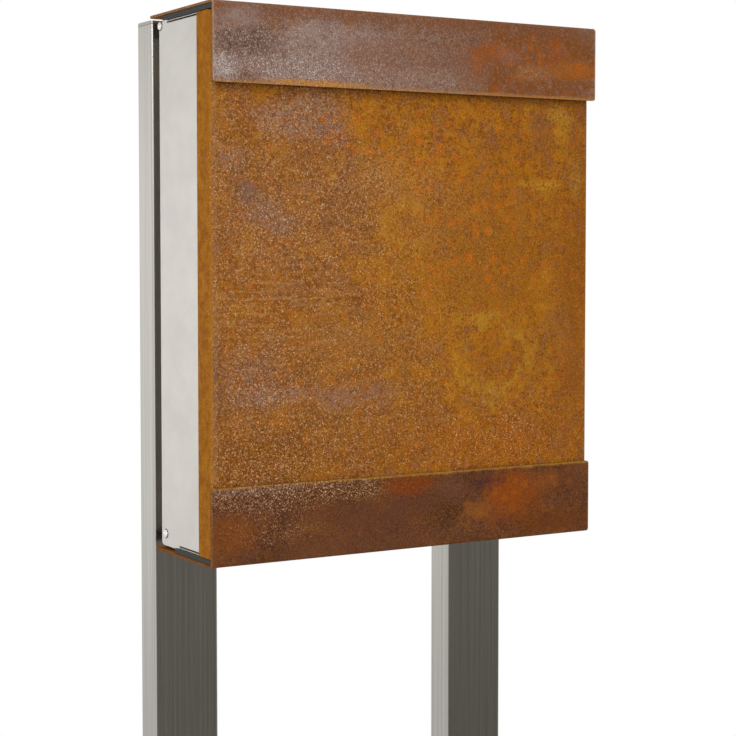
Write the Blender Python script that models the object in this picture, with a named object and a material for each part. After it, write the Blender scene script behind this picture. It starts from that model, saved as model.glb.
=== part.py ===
# Letter box with weathering-steel covers on two stainless posts, closed and unlocked.
# Mail drops in under the hood, and the tray swings down to empty the box.
# X runs along the front, -Y faces the street and Z = 0 is the ground.
# The origin lies on the ground under the middle of the whole part.

from math import acos, atan2, cos, hypot, pi, radians, sin, tan

import bmesh
import bpy
from mathutils import Matrix, Vector

# Overall sizes, in metres
BOX_WIDTH = 0.375
BOX_HEIGHT = 0.450
TOP_HEIGHT = 1.200

# Gap between pieces that touch, the radial play of a pin in its hole,
# and how far a cutter reaches past a face that it would otherwise lie in
FIT = 0.0003
RUNNING = 0.0001
CUT_OFFSET = 0.00005

# Weathering-steel covers: hood and tray, each a plate with a folded band
COVER_SHEET = 0.002
COVER_BEND = 0.0035
COVER_CORNER = 0.0025
BAND_HEIGHT = 0.064
HOOD_OVERHANG = 0.0117
TRAY_OVERHANG = 0.0058
HOOD_STANDOFF = 0.0064

# Front panel: a pan of the same steel with side flanges
PANEL_SETBACK = 0.0025
PANEL_INSET = 0.00085
PANEL_FLANGE = 0.023
PANEL_GAP = 0.0005
TAPE_WIDTH = 0.020
TAPE_THICKNESS = 0.0008
TAPE_END_INSET = 0.015

# Housing: a stainless sleeve, open at the top and bottom
HOUSING_SHEET = 0.001
HOUSING_SIDE_GAP = 0.00045
HOUSING_DEPTH = 0.0998
HOUSING_BEND = 0.002
HOUSING_SLIT = 0.0011
HOOD_LUG_LENGTH = 0.0171
HOOD_LUG_RISE = 0.0020
TRAY_LUG_LENGTH = 0.037
TRAY_LUG_DROP = 0.0037
LUG_CORNER = 0.0015
LUG_HEEL = 0.006
BACK_TOP_GAP = 0.0005
BACK_FOOT_RISE = 0.0016

# Carriers: stainless plates that hang the covers from the hinge pins
CARRIER_SHEET = 0.0008
CARRIER_BEND = 0.0016
CARRIER_FRONT_GAP = 0.0005
CARRIER_SIDE_GAP = 0.00035
CARRIER_CORNER = 0.003
CARRIER_WING_INSET = 0.0025
CARRIER_WING_GAP = 0.0010
EAR_FRONT = 0.012
EAR_RELIEF = 0.0005
HOOD_EAR_RADIUS = 0.0036
HOOD_CARRIER_END = 0.005
TRAY_EAR_RADIUS = 0.005
TRAY_CARRIER_END = -0.0015

# Black strips between cover and carrier, and the thin stop pads
STRIP_WIDTH = 0.010
STRIP_HEIGHT = 0.0040
STRIP_EDGE_GAP = 0.0005
STRIP_LUG_GAP = 0.0010
HOOD_STRIP_TAIL = 0.0035
TRAY_STRIP_TAIL = 0.0042
PAD_LENGTH = 0.014
PAD_WIDTH = 0.0025
PAD_INSET = 0.030

# Hinge pins: rivets through the housing sides and the carrier ears
PIN_RADIUS = 0.002
PIN_HEAD_RADIUS = 0.0035
PIN_HEAD_HEIGHT = 0.0015
PIN_TAIL_RADIUS = 0.003
PIN_TAIL_HEIGHT = 0.0008
HOOD_PIN_FROM_BACK = 0.0037
HOOD_PIN_DROP = 0.0095
TRAY_PIN_FROM_BACK = 0.0098
TRAY_PIN_RISE = 0.0149

# Posts with caps and base plates
POST_WIDTH = 0.060
POST_DEPTH = 0.030
POST_WALL = 0.0015
POST_CORNER = 0.002
POST_INSET = 0.007
POST_GAP = 0.0237
POST_TOP_DROP = 0.0011
CAP_HEIGHT = 0.003
CAP_EDGE = 0.0006
CAP_SKIRT_DEPTH = 0.010
CAP_SKIRT_WALL = 0.0018
BASE_WIDTH = 0.090
BASE_DEPTH = 0.180
BASE_THICKNESS = 0.006
BASE_CORNER = 0.008
ANCHOR_HOLE_RADIUS = 0.0045
ANCHOR_EDGE = 0.014

# Bolts that hold the housing off the posts
BOLT_RADIUS = 0.003
BOLT_LENGTH = 0.040
BOLT_HEAD_RADIUS = 0.00525
BOLT_HEAD_HEIGHT = 0.0033
BOLT_SOCKET_RADIUS = 0.0023
BOLT_SOCKET_DEPTH = 0.002
BOLT_END_INSET = 0.070
WASHER_RADIUS = 0.0065
WASHER_THICKNESS = 0.0012
SLEEVE_RADIUS = 0.008
NUT_FLANGE_RADIUS = 0.0065
NUT_FLANGE_THICKNESS = 0.001
NUT_BODY_RADIUS = 0.0044
NUT_BULGE_RADIUS = 0.0058
NUT_BULGE_LENGTH = 0.0035
NUT_LENGTH = 0.015

# Cam lock in the tray and the catch that its cam turns over
LOCK_SETBACK = 0.030
LOCK_RADIUS = 0.008
LOCK_LENGTH = 0.020
LOCK_FLANGE_RADIUS = 0.0105
LOCK_FLANGE_HEIGHT = 0.0015
LOCK_NUT_RADIUS = 0.0125
LOCK_NUT_HEIGHT = 0.003
PLUG_RADIUS = 0.0055
PLUG_HEAD_RADIUS = 0.0067
PLUG_HEAD_HEIGHT = 0.0012
PLUG_TENON_RADIUS = 0.004
PLUG_TENON_FLAT = 0.003
KEYWAY_LENGTH = 0.007
KEYWAY_WIDTH = 0.0012
KEYWAY_DEPTH = 0.006
CAM_SHEET = 0.002
CAM_HUB_RADIUS = 0.008
CAM_TIP_RADIUS = 0.005
CAM_TIP_GAP = 0.0008
CAM_SCREW_RADIUS = 0.002
CAM_SCREW_LENGTH = 0.008
CAM_SCREW_HEAD_RADIUS = 0.004
CAM_SCREW_HEAD_HEIGHT = 0.002
CATCH_SHEET = 0.0015
CATCH_BEND = 0.0022
CATCH_WIDTH = 0.030
CATCH_HEIGHT = 0.0165
CATCH_LIP = 0.0078
LATCH_PLAY = 0.0006

# Facets of round forms
ROUND_SIDES = 24
ARC_STEPS = 6

# Finish: colour, metallic, roughness
FINISHES = {
    "weathering_steel": ((0.30, 0.12, 0.045), 0.0, 0.85),
    "brushed_stainless": ((0.55, 0.54, 0.52), 1.0, 0.38),
    "ground_stainless": ((0.50, 0.49, 0.47), 1.0, 0.30),
    "black_rubber": ((0.02, 0.02, 0.018), 0.0, 0.75),
    "zinc_plate": ((0.45, 0.45, 0.46), 1.0, 0.35),
    "nickel_plate": ((0.60, 0.58, 0.54), 1.0, 0.20),
}

# Places along Y, front to back
OVERALL_DEPTH = HOOD_STANDOFF + PANEL_SETBACK + COVER_SHEET + TAPE_THICKNESS + 2 * FIT
OVERALL_DEPTH += HOUSING_DEPTH + POST_GAP + POST_DEPTH / 2 + BASE_DEPTH / 2
HOOD_FRONT = -OVERALL_DEPTH / 2
TRAY_FRONT = HOOD_FRONT + HOOD_STANDOFF
PANEL_FRONT = TRAY_FRONT + PANEL_SETBACK
PANEL_REAR = PANEL_FRONT + PANEL_FLANGE
TAPE_FRONT = PANEL_FRONT + COVER_SHEET + FIT
HOUSING_FRONT = TAPE_FRONT + TAPE_THICKNESS + FIT
HOUSING_BACK = HOUSING_FRONT + HOUSING_DEPTH
INNER_FRONT = HOUSING_FRONT + HOUSING_SHEET
INNER_BACK = HOUSING_BACK - HOUSING_SHEET
POST_FRONT = HOUSING_BACK + POST_GAP
POST_MIDDLE = POST_FRONT + POST_DEPTH / 2
HOOD_DEPTH = HOUSING_BACK + HOOD_OVERHANG - HOOD_FRONT
TRAY_DEPTH = HOUSING_BACK + TRAY_OVERHANG - TRAY_FRONT
HOOD_PIN_Y = HOUSING_BACK - HOOD_PIN_FROM_BACK
TRAY_PIN_Y = HOUSING_BACK - TRAY_PIN_FROM_BACK
LOCK_Y = TRAY_FRONT + LOCK_SETBACK

# Places along Z
BOX_FOOT = TOP_HEIGHT - BOX_HEIGHT
CARRIER_STACK = COVER_SHEET + STRIP_HEIGHT + 2 * FIT
HOOD_CARRIER_TOP = TOP_HEIGHT - CARRIER_STACK
TRAY_CARRIER_FOOT = BOX_FOOT + CARRIER_STACK
TRAY_FLOOR = TRAY_CARRIER_FOOT + CARRIER_SHEET
HOUSING_TOP = HOOD_CARRIER_TOP - CARRIER_SHEET - HOUSING_SLIT
HOUSING_FOOT = TRAY_FLOOR + HOUSING_SLIT
PANEL_TOP = HOOD_CARRIER_TOP + FIT - PANEL_GAP
PANEL_FOOT = TRAY_CARRIER_FOOT - FIT + PANEL_GAP
HOOD_PIN_Z = TOP_HEIGHT - HOOD_PIN_DROP
TRAY_PIN_Z = BOX_FOOT + TRAY_PIN_RISE
POST_TOP = TOP_HEIGHT - POST_TOP_DROP - CAP_HEIGHT
CAM_FOOT = BOX_FOOT + LOCK_LENGTH + 2 * FIT

# Places along X, as distances from the middle
HALF_WIDTH = BOX_WIDTH / 2
PANEL_HALF = HALF_WIDTH - PANEL_INSET
HOUSING_HALF = PANEL_HALF - COVER_SHEET - HOUSING_SIDE_GAP
INNER_HALF = HOUSING_HALF - HOUSING_SHEET
EAR_FACE = INNER_HALF - FIT
POST_X = HALF_WIDTH - POST_INSET - POST_WIDTH / 2

HOOD_HINGE = (0.0, HOOD_PIN_Y, HOOD_PIN_Z)
TRAY_HINGE = (0.0, TRAY_PIN_Y, TRAY_PIN_Z)
LOCK_AXIS = (0.0, LOCK_Y, CAM_FOOT)


def clear_scene():
    for old in list(bpy.data.objects):
        bpy.data.objects.remove(old)


def make_finish(name):
    colour, metallic, roughness = FINISHES[name]
    finish = bpy.data.materials.new(name)
    finish.use_nodes = True
    shader = finish.node_tree.nodes["Principled BSDF"]
    shader.inputs["Base Color"].default_value = (*colour, 1.0)
    shader.inputs["Metallic"].default_value = metallic
    shader.inputs["Roughness"].default_value = roughness
    return finish


def make_axis(name, place, parent=None):
    # An empty on a joint's axis, which carries the pieces that turn about it
    axis = bpy.data.objects.new(name, None)
    bpy.context.scene.collection.objects.link(axis)
    axis.empty_display_size = 0.03
    axis.location = place
    if parent:
        axis.parent = parent
        axis.location = Vector(place) - parent.location
    return axis


def add_mesh(name, shape, axis):
    # The shape is drawn in world coordinates and hung on its axis, if it has one
    place = axis.matrix_world.translation if axis else Vector()
    bmesh.ops.translate(shape, vec=-place, verts=shape.verts)
    mesh = bpy.data.meshes.new(name)
    shape.to_mesh(mesh)
    shape.free()
    piece = bpy.data.objects.new(name, mesh)
    bpy.context.scene.collection.objects.link(piece)
    piece.parent = axis
    return piece


def add_piece(name, shape, finish, axis=None):
    piece = add_mesh(name, shape, axis)
    piece.data.materials.append(make_finish(finish))
    piece.data.shade_smooth()
    piece.data.set_sharp_from_angle(angle=radians(35))
    return piece


def add_boolean(piece, name, shape, operation, axis=None):
    cutter = add_mesh(name, shape, axis)
    cutter.hide_render = True
    cutter.display_type = "WIRE"
    boolean = piece.modifiers.new(name, "BOOLEAN")
    boolean.operation = operation
    boolean.solver = "EXACT"
    boolean.object = cutter


# Outlines

def arc(center, radius, start, end, steps=ARC_STEPS):
    turns = [start + (end - start) * step / steps for step in range(steps + 1)]
    return [(center[0] + radius * cos(turn), center[1] + radius * sin(turn)) for turn in turns]


def circle(radius, center=(0.0, 0.0)):
    return arc(center, radius, 0, 2 * pi, ROUND_SIDES)[:-1]


def rounded(corners):
    # Corners are (x, y, radius), and a radius of 0 keeps a corner sharp
    outline = []
    for index, (x, y, radius) in enumerate(corners):
        if radius == 0:
            outline.append((x, y))
            continue
        here = Vector((x, y))
        before = (Vector(corners[index - 1][:2]) - here).normalized()
        after = (Vector(corners[(index + 1) % len(corners)][:2]) - here).normalized()
        half = before.angle(after) / 2
        middle = here + (before + after).normalized() * radius / sin(half)
        first = here + before * radius / tan(half) - middle
        last = here + after * radius / tan(half) - middle
        start = atan2(first.y, first.x)
        sweep = atan2(first.x * last.y - first.y * last.x, first.dot(last))
        outline += arc(middle, radius, start, start + sweep)
    return outline


def rectangle(low_x, low_y, high_x, high_y, radius=0.0):
    sides = ((low_x, low_y), (high_x, low_y), (high_x, high_y), (low_x, high_y))
    return rounded([(x, y, radius) for x, y in sides])


def polygon(radius, sides):
    # A regular polygon with as many points as a circle, so that the two can be joined
    half = pi / sides
    outline = []
    for x, y in circle(radius):
        turn = atan2(y, x) % (2 * half)
        reach = cos(half) / cos(turn - half)
        outline.append((x * reach, y * reach))
    return outline


def flatted(radius, flat):
    # A circle with two flats across Y
    return [(x, max(-flat, min(flat, y))) for x, y in circle(radius)]


# Solids

def loft(rings, hollow=False):
    # Skin a row of rings, closed by end faces or, if hollow, back onto the first ring
    shape = bmesh.new()
    rows = [[shape.verts.new(point) for point in ring] for ring in rings]
    pairs = list(zip(rows, rows[1:]))
    if hollow:
        pairs.append((rows[-1], rows[0]))
    else:
        shape.faces.new(rows[0])
        shape.faces.new(rows[-1])
    for low, high in pairs:
        for index in range(len(low)):
            shape.faces.new((low[index - 1], low[index], high[index], high[index - 1]))
    bmesh.ops.recalc_face_normals(shape, faces=shape.faces)
    return shape


def level(outline, height):
    return [(x, y, height) for x, y in outline]


def prism(outline, low, high):
    return loft([level(outline, low), level(outline, high)])


def tube(outer, inner, low, high):
    rings = [level(outer, low), level(outer, high), level(inner, high), level(inner, low)]
    return loft(rings, hollow=True)


def turned(profile, hollow=False):
    # The profile is a list of (radius, height) along Z
    return loft([level(circle(radius), height) for radius, height in profile], hollow)


def placed(shape, x_axis, y_axis, z_axis, place):
    # Turn a shape so that its own axes point the given ways, then move it
    turn = Matrix((x_axis, y_axis, z_axis)).transposed().to_4x4()
    bmesh.ops.transform(shape, matrix=Matrix.Translation(place) @ turn, verts=shape.verts)
    return shape


def along_x(shape, side, place):
    return placed(shape, (0, side, 0), (0, 0, 1), (side, 0, 0), place)


def along_y(shape, place):
    return placed(shape, (1, 0, 0), (0, 0, -1), (0, 1, 0), place)


def joined(shapes):
    # Separate solids in one mesh
    whole = bmesh.new()
    for shape in shapes:
        mesh = bpy.data.meshes.new("part")
        shape.to_mesh(mesh)
        shape.free()
        whole.from_mesh(mesh)
        bpy.data.meshes.remove(mesh)
    return whole


# Sheet metal: a punched blank, folded square away from its outer face

def blank(outline, thickness, holes=()):
    shape = bmesh.new()
    edges = []
    for loop in (outline, *holes):
        verts = [shape.verts.new((u, v, 0)) for u, v in loop]
        edges += [shape.edges.new((verts[index - 1], verts[index])) for index in range(len(verts))]
    bmesh.ops.triangle_fill(shape, edges=edges, use_beauty=True, normal=(0, 0, 1))
    faces = bmesh.ops.extrude_face_region(shape, geom=shape.faces[:])["geom"]
    lower = [item for item in faces if isinstance(item, bmesh.types.BMVert)]
    bmesh.ops.translate(shape, vec=(0, 0, -thickness), verts=lower)
    bmesh.ops.recalc_face_normals(shape, faces=shape.faces)
    return shape


def fold(shape, start, side, bend, tab_front=None, plate_end=None):
    # The sheet past u = start turns down around a bend of this outer radius.
    # With a tab, only the sheet behind tab_front folds, and all behind plate_end is flat ear.
    stretch = bend * pi / 2
    for step in range(ARC_STEPS + 1):
        line = side * (start + stretch * step / ARC_STEPS)
        everything = shape.verts[:] + shape.edges[:] + shape.faces[:]
        bmesh.ops.bisect_plane(shape, geom=everything, dist=1e-7, plane_co=(line, 0, 0), plane_no=(1, 0, 0))
    for vert in shape.verts:
        u, v, w = vert.co
        past = side * u - start
        loose = plate_end is not None and v < plate_end and side * u > 0
        if not loose and (past <= 1e-7 or (tab_front is not None and v > tab_front + 1e-7)):
            continue
        turn = pi / 2 if loose else min(past / bend, pi / 2)
        flat = past - stretch if loose else max(past - stretch, 0.0)
        radius = bend + w
        vert.co.x = side * (start + radius * sin(turn) + flat * cos(turn))
        vert.co.z = -bend + radius * cos(turn) - flat * sin(turn)


def folded_length(outer, bend):
    # Flat length of sheet from the start of a bend to the end of a leg of this outer height
    return bend * pi / 2 + outer - bend


def angle_sheet(depth, height, width, thickness, bend, corner, holes=()):
    # A plate of this depth with one leg, both measured over the outer faces
    length = depth - bend + folded_length(height, bend)
    outline = rectangle(0, -width / 2, length, width / 2, corner)
    shape = blank(outline, thickness, holes)
    fold(shape, depth - bend, 1, bend)
    return shape


# Weathering-steel pieces

def make_hood_cover(axis):
    shape = angle_sheet(HOOD_DEPTH, BAND_HEIGHT, BOX_WIDTH, COVER_SHEET, COVER_BEND, COVER_CORNER)
    rear = (0, HOOD_FRONT + HOOD_DEPTH, TOP_HEIGHT)
    placed(shape, (0, -1, 0), (1, 0, 0), (0, 0, 1), rear)
    add_piece("hood_cover", shape, "weathering_steel", axis)


def make_tray_cover(axis):
    lock_hole = circle(LOCK_RADIUS + FIT, (TRAY_DEPTH - LOCK_SETBACK, 0))
    shape = angle_sheet(
        TRAY_DEPTH, BAND_HEIGHT, BOX_WIDTH, COVER_SHEET, COVER_BEND, COVER_CORNER, [lock_hole])
    placed(shape, (0, -1, 0), (-1, 0, 0), (0, 0, -1), (0, TRAY_FRONT + TRAY_DEPTH, BOX_FOOT))
    add_piece("tray_cover", shape, "weathering_steel", axis)


def make_front_panel():
    start = PANEL_HALF - COVER_BEND
    reach = start + folded_length(PANEL_FLANGE, COVER_BEND)
    shape = blank(rectangle(-reach, 0, reach, PANEL_TOP - PANEL_FOOT, COVER_CORNER), COVER_SHEET)
    fold(shape, start, 1, COVER_BEND)
    fold(shape, start, -1, COVER_BEND)
    placed(shape, (1, 0, 0), (0, 0, 1), (0, -1, 0), (0, PANEL_FRONT, PANEL_FOOT))
    add_piece("front_panel", shape, "weathering_steel")
    reach = HOUSING_HALF - HOUSING_BEND - TAPE_WIDTH
    for name, x in (("left", -reach), ("middle", 0), ("right", reach)):
        outline = rectangle(x - TAPE_WIDTH / 2, TAPE_FRONT, x + TAPE_WIDTH / 2, TAPE_FRONT + TAPE_THICKNESS)
        tape = prism(outline, HOUSING_FOOT + TAPE_END_INSET, HOUSING_TOP - TAPE_END_INSET)
        add_piece("panel_tape_" + name, tape, "black_rubber")


# Stainless housing

def housing_side():
    # Side elevation as (y, z), with the hinge lugs at the back corners
    hood_lug = HOUSING_BACK - HOOD_LUG_LENGTH
    tray_lug = HOUSING_BACK - TRAY_LUG_LENGTH
    lug_top = HOUSING_TOP + HOOD_LUG_RISE
    lug_foot = HOUSING_FOOT - TRAY_LUG_DROP
    past_front = HOUSING_FRONT - HOUSING_SHEET
    back = HOUSING_BACK + CUT_OFFSET
    return rounded([
        (past_front, HOUSING_FOOT, 0),
        (tray_lug, HOUSING_FOOT, LUG_CORNER / 2),
        (tray_lug, lug_foot, LUG_CORNER / 2),
        (back, lug_foot, LUG_HEEL),
        (back, lug_top, LUG_CORNER),
        (hood_lug, lug_top, HOOD_LUG_RISE / 3),
        (hood_lug, HOUSING_TOP, HOOD_LUG_RISE / 3),
        (past_front, HOUSING_TOP, 0)])


def make_housing():
    outer = rectangle(-HOUSING_HALF, HOUSING_FRONT, HOUSING_HALF, HOUSING_BACK, HOUSING_BEND)
    inner = rectangle(-INNER_HALF, INNER_FRONT, INNER_HALF, INNER_BACK, HOUSING_BEND - HOUSING_SHEET)
    housing = add_piece("housing", tube(outer, inner, BOX_FOOT, TOP_HEIGHT), "brushed_stainless")

    side = prism(housing_side(), -HALF_WIDTH, HALF_WIDTH)
    placed(side, (0, 1, 0), (0, 0, 1), (1, 0, 0), (0, 0, 0))
    add_boolean(housing, "housing_side_outline", side, "INTERSECT")

    # The back wall stops short of the swinging ears at both ends
    past_back = HOUSING_BACK + HOUSING_SHEET
    before_back = INNER_BACK - HOUSING_BEND
    reach = INNER_HALF + CUT_OFFSET
    span = rectangle(-reach, before_back, reach, past_back)
    back_top = HOOD_PIN_Z - HOOD_EAR_RADIUS - BACK_TOP_GAP
    notches = joined([
        prism(span, back_top, TOP_HEIGHT + HOUSING_SHEET),
        prism(span, BOX_FOOT - HOUSING_SHEET, HOUSING_FOOT + BACK_FOOT_RISE)])
    add_boolean(housing, "housing_back_notches", notches, "DIFFERENCE")

    holes = []
    for y, z in ((HOOD_PIN_Y, HOOD_PIN_Z), (TRAY_PIN_Y, TRAY_PIN_Z)):
        drill = turned([(PIN_RADIUS + RUNNING, -HALF_WIDTH), (PIN_RADIUS + RUNNING, HALF_WIDTH)])
        holes.append(along_x(drill, 1, (0, y, z)))
    for name, x, z in bolt_places():
        drill = turned([(BOLT_RADIUS + FIT, before_back), (BOLT_RADIUS + FIT, past_back)])
        holes.append(along_y(drill, (x, 0, z)))
    add_boolean(housing, "housing_drill", joined(holes), "DIFFERENCE")


# Carriers

def carrier_sheet(pin_y, pin_drop, lug_length, plate_end, ear, holes=()):
    # Drawn flat, outer face up, with v running forward from the hinge pin
    start = EAR_FACE - CARRIER_BEND
    ear_root = start + CARRIER_BEND * pi / 2
    front = pin_y - PANEL_FRONT - COVER_SHEET - CARRIER_FRONT_GAP
    wing_front = pin_y - PANEL_REAR - CARRIER_WING_GAP
    wing_rear = pin_y - HOUSING_BACK + lug_length + CARRIER_WING_GAP
    narrow = PANEL_HALF - COVER_SHEET - CARRIER_SIDE_GAP
    wide = HALF_WIDTH - CARRIER_WING_INSET
    half = arc((narrow - CARRIER_CORNER, front - CARRIER_CORNER), CARRIER_CORNER, pi / 2, 0)
    half += [(narrow, wing_front), (wide, wing_front), (wide, wing_rear), (start, wing_rear)]
    half.append((start, EAR_FRONT))
    half += [(ear_root + rise, v) for rise, v in ear]
    half.append((start, plate_end))
    outline = half + [(-u, v) for u, v in reversed(half)]
    pin_reach = ear_root + pin_drop - CARRIER_BEND
    pins = [circle(PIN_RADIUS + RUNNING, (side * pin_reach, 0)) for side in (-1, 1)]
    shape = blank(outline, CARRIER_SHEET, [*pins, *holes])
    for side in (-1, 1):
        fold(shape, start, side, CARRIER_BEND, EAR_FRONT, plate_end - EAR_RELIEF / 2)
    return shape


def hood_ear(pin_drop):
    # The hood's ear hooks back past the end of its plate, as (rise past the bend, v)
    pin = pin_drop - CARRIER_BEND
    radius = HOOD_EAR_RADIUS
    tip = arc((pin, 0), radius, 0, -pi, 2 * ARC_STEPS)
    relief = HOOD_CARRIER_END - EAR_RELIEF
    lead = [(0, EAR_FRONT), (pin + radius / 2, EAR_FRONT), (pin + radius, EAR_FRONT - radius / 2)]
    return lead + tip + [(pin - radius, relief), (0, relief), (0, HOOD_CARRIER_END)]


def tray_ear(pin_drop):
    # The tray's ear is a tab with a round end over the pin
    pin = pin_drop - CARRIER_BEND
    radius = TRAY_EAR_RADIUS
    turns = []
    for foot, side in ((EAR_FRONT, -1), (TRAY_CARRIER_END, 1)):
        turns.append(atan2(foot, -pin) + side * acos(radius / hypot(foot, pin)))
    tip = arc((pin, 0), radius, turns[0], turns[1], 2 * ARC_STEPS)
    return [(0, EAR_FRONT)] + tip + [(0, TRAY_CARRIER_END)]


def make_hood_carrier(axis):
    drop = HOOD_CARRIER_TOP - HOOD_PIN_Z
    shape = carrier_sheet(HOOD_PIN_Y, drop, HOOD_LUG_LENGTH, HOOD_CARRIER_END, hood_ear(drop))
    placed(shape, (-1, 0, 0), (0, -1, 0), (0, 0, 1), (0, HOOD_PIN_Y, HOOD_CARRIER_TOP))
    add_piece("hood_carrier", shape, "brushed_stainless", axis)


def make_tray_carrier(axis):
    drop = TRAY_PIN_Z - TRAY_CARRIER_FOOT
    lock_hole = circle(LOCK_RADIUS + FIT, (0, TRAY_PIN_Y - LOCK_Y))
    shape = carrier_sheet(
        TRAY_PIN_Y, drop, TRAY_LUG_LENGTH, TRAY_CARRIER_END, tray_ear(drop), [lock_hole])
    placed(shape, (1, 0, 0), (0, -1, 0), (0, 0, -1), (0, TRAY_PIN_Y, TRAY_CARRIER_FOOT))
    add_piece("tray_carrier", shape, "brushed_stainless", axis)


def make_strips(name, axis, front, lug_length, tail, low):
    # Strips lie along the cover's edges, and each ends in a narrow tail beside the housing's lug
    outer = HALF_WIDTH - STRIP_EDGE_GAP
    neck = HOUSING_HALF + STRIP_LUG_GAP
    shoulder = HOUSING_BACK - lug_length - STRIP_LUG_GAP
    for side_name, side in (("left", -1), ("right", 1)):
        half = [
            (outer - STRIP_WIDTH, front),
            (outer, front),
            (outer, shoulder + tail),
            (neck, shoulder + tail),
            (neck, shoulder),
            (outer - STRIP_WIDTH, shoulder),
        ]
        strip = prism([(side * x, y) for x, y in half[::side]], low, low + STRIP_HEIGHT)
        add_piece(name + "_strip_" + side_name, strip, "black_rubber", axis)


def make_pads(name, axis, low, high):
    # Two pads under a carrier's front edge, over the front wall of the housing
    middle = HOUSING_FRONT + HOUSING_SHEET / 2
    for side_name, side in (("left", -1), ("right", 1)):
        outer = INNER_HALF - PAD_INSET
        low_x, high_x = sorted((side * outer, side * (outer - PAD_LENGTH)))
        outline = rectangle(low_x, middle - PAD_WIDTH / 2, high_x, middle + PAD_WIDTH / 2)
        add_piece(name + "_pad_" + side_name, prism(outline, low, high), "black_rubber", axis)


# Hinge pins, turned along X with the head outside

def make_hinge_pin(name, side, y, z):
    head_top = FIT + PIN_HEAD_HEIGHT
    crown = [(PIN_HEAD_RADIUS * sin(turn), FIT + PIN_HEAD_HEIGHT * cos(turn))
             for turn in (radians(15), radians(35), radians(55), radians(72))]
    tail = -(HOUSING_SHEET + CARRIER_SHEET + 2 * FIT)
    profile = [(crown[0][0] / 2, head_top)] + crown
    profile += [(PIN_HEAD_RADIUS, FIT), (PIN_RADIUS, FIT), (PIN_RADIUS, tail), (PIN_TAIL_RADIUS, tail)]
    profile += [(PIN_TAIL_RADIUS, tail - PIN_TAIL_HEIGHT / 2), (PIN_RADIUS, tail - PIN_TAIL_HEIGHT)]
    pin = along_x(turned(profile), side, (side * HOUSING_HALF, y, z))
    add_piece(name, pin, "ground_stainless")


def make_hinge_pins():
    for side_name, side in (("left", -1), ("right", 1)):
        make_hinge_pin("hood_pin_" + side_name, side, HOOD_PIN_Y, HOOD_PIN_Z)
        make_hinge_pin("tray_pin_" + side_name, side, TRAY_PIN_Y, TRAY_PIN_Z)


# Posts

def bolt_places():
    # The bolts' names and places, as (name, x, z)
    heights = (("lower", BOX_FOOT + BOLT_END_INSET), ("upper", TOP_HEIGHT - BOLT_END_INSET))
    posts = (("left", -POST_X), ("right", POST_X))
    return [(side + "_" + end, x, z) for side, x in posts for end, z in heights]


def post_outline(x, inset, corner):
    half_width = POST_WIDTH / 2 - inset
    half_depth = POST_DEPTH / 2 - inset
    return rectangle(
        x - half_width, POST_MIDDLE - half_depth, x + half_width, POST_MIDDLE + half_depth, corner)


def make_post(name, x):
    outer = post_outline(x, 0, POST_CORNER)
    inner = post_outline(x, POST_WALL, POST_CORNER - POST_WALL)
    shape = tube(outer, inner, BASE_THICKNESS + FIT, POST_TOP - FIT)
    post = add_piece("post_" + name, shape, "brushed_stainless")
    drills = []
    for place, bolt_x, z in bolt_places():
        if bolt_x == x:
            drill = [(NUT_BODY_RADIUS + FIT, -POST_WALL), (NUT_BODY_RADIUS + FIT, 2 * POST_WALL)]
            drills.append(along_y(turned(drill), (x, POST_FRONT, z)))
    add_boolean(post, "post_drill_" + name, joined(drills), "DIFFERENCE")


def make_post_cap(name, x):
    # A lid as wide as the post, on a hollow skirt that plugs into it
    skirt = POST_WALL + FIT
    hollow = skirt + CAP_SKIRT_WALL
    corner = POST_CORNER - POST_WALL
    foot = POST_TOP - CAP_SKIRT_DEPTH
    rings = [
        level(post_outline(x, hollow, corner / 2), POST_TOP),
        level(post_outline(x, hollow, corner / 2), foot),
        level(post_outline(x, skirt, corner / 2), foot),
        level(post_outline(x, skirt, corner / 2), POST_TOP),
        level(post_outline(x, 0, POST_CORNER), POST_TOP),
        level(post_outline(x, 0, POST_CORNER), POST_TOP + CAP_HEIGHT - CAP_EDGE),
        level(post_outline(x, CAP_EDGE, POST_CORNER - CAP_EDGE), POST_TOP + CAP_HEIGHT)]
    add_piece("post_cap_" + name, loft(rings), "ground_stainless")


def make_base_plate(name, x):
    reach_x = BASE_WIDTH / 2 - ANCHOR_EDGE
    reach_y = BASE_DEPTH / 2 - ANCHOR_EDGE
    holes = [circle(ANCHOR_HOLE_RADIUS, (side_x * reach_x, side_y * reach_y))
             for side_x in (-1, 1) for side_y in (-1, 1)]
    outline = rectangle(-BASE_WIDTH / 2, -BASE_DEPTH / 2, BASE_WIDTH / 2, BASE_DEPTH / 2, BASE_CORNER)
    plate = blank(outline, BASE_THICKNESS, holes)
    bmesh.ops.translate(plate, vec=(x, POST_MIDDLE, BASE_THICKNESS), verts=plate.verts)
    add_piece("base_plate_" + name, plate, "brushed_stainless")


# Fasteners between housing and posts, turned along Y with the head at the front

def bolt_shape():
    # Heights run back from the underside of the head
    radius, height = BOLT_HEAD_RADIUS, BOLT_HEAD_HEIGHT
    chamfer = BOLT_RADIUS * 0.2
    shaft = [(BOLT_RADIUS - chamfer, BOLT_LENGTH), (BOLT_RADIUS, BOLT_LENGTH - chamfer), (BOLT_RADIUS, 0)]
    crown = [(radius, 0), (radius * 0.93, -height * 0.5)]
    crown += [(radius * 0.76, -height * 0.85), (radius * 0.56, -height)]
    rings = [level(circle(reach), along) for reach, along in shaft + crown]
    socket = polygon(BOLT_SOCKET_RADIUS, 6)
    rings += [level(socket, -height), level(socket, BOLT_SOCKET_DEPTH - height)]
    return loft(rings)


def ring_shape(outer, inner, low, high):
    return turned([(outer, low), (outer, high), (inner, high), (inner, low)], hollow=True)


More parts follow.
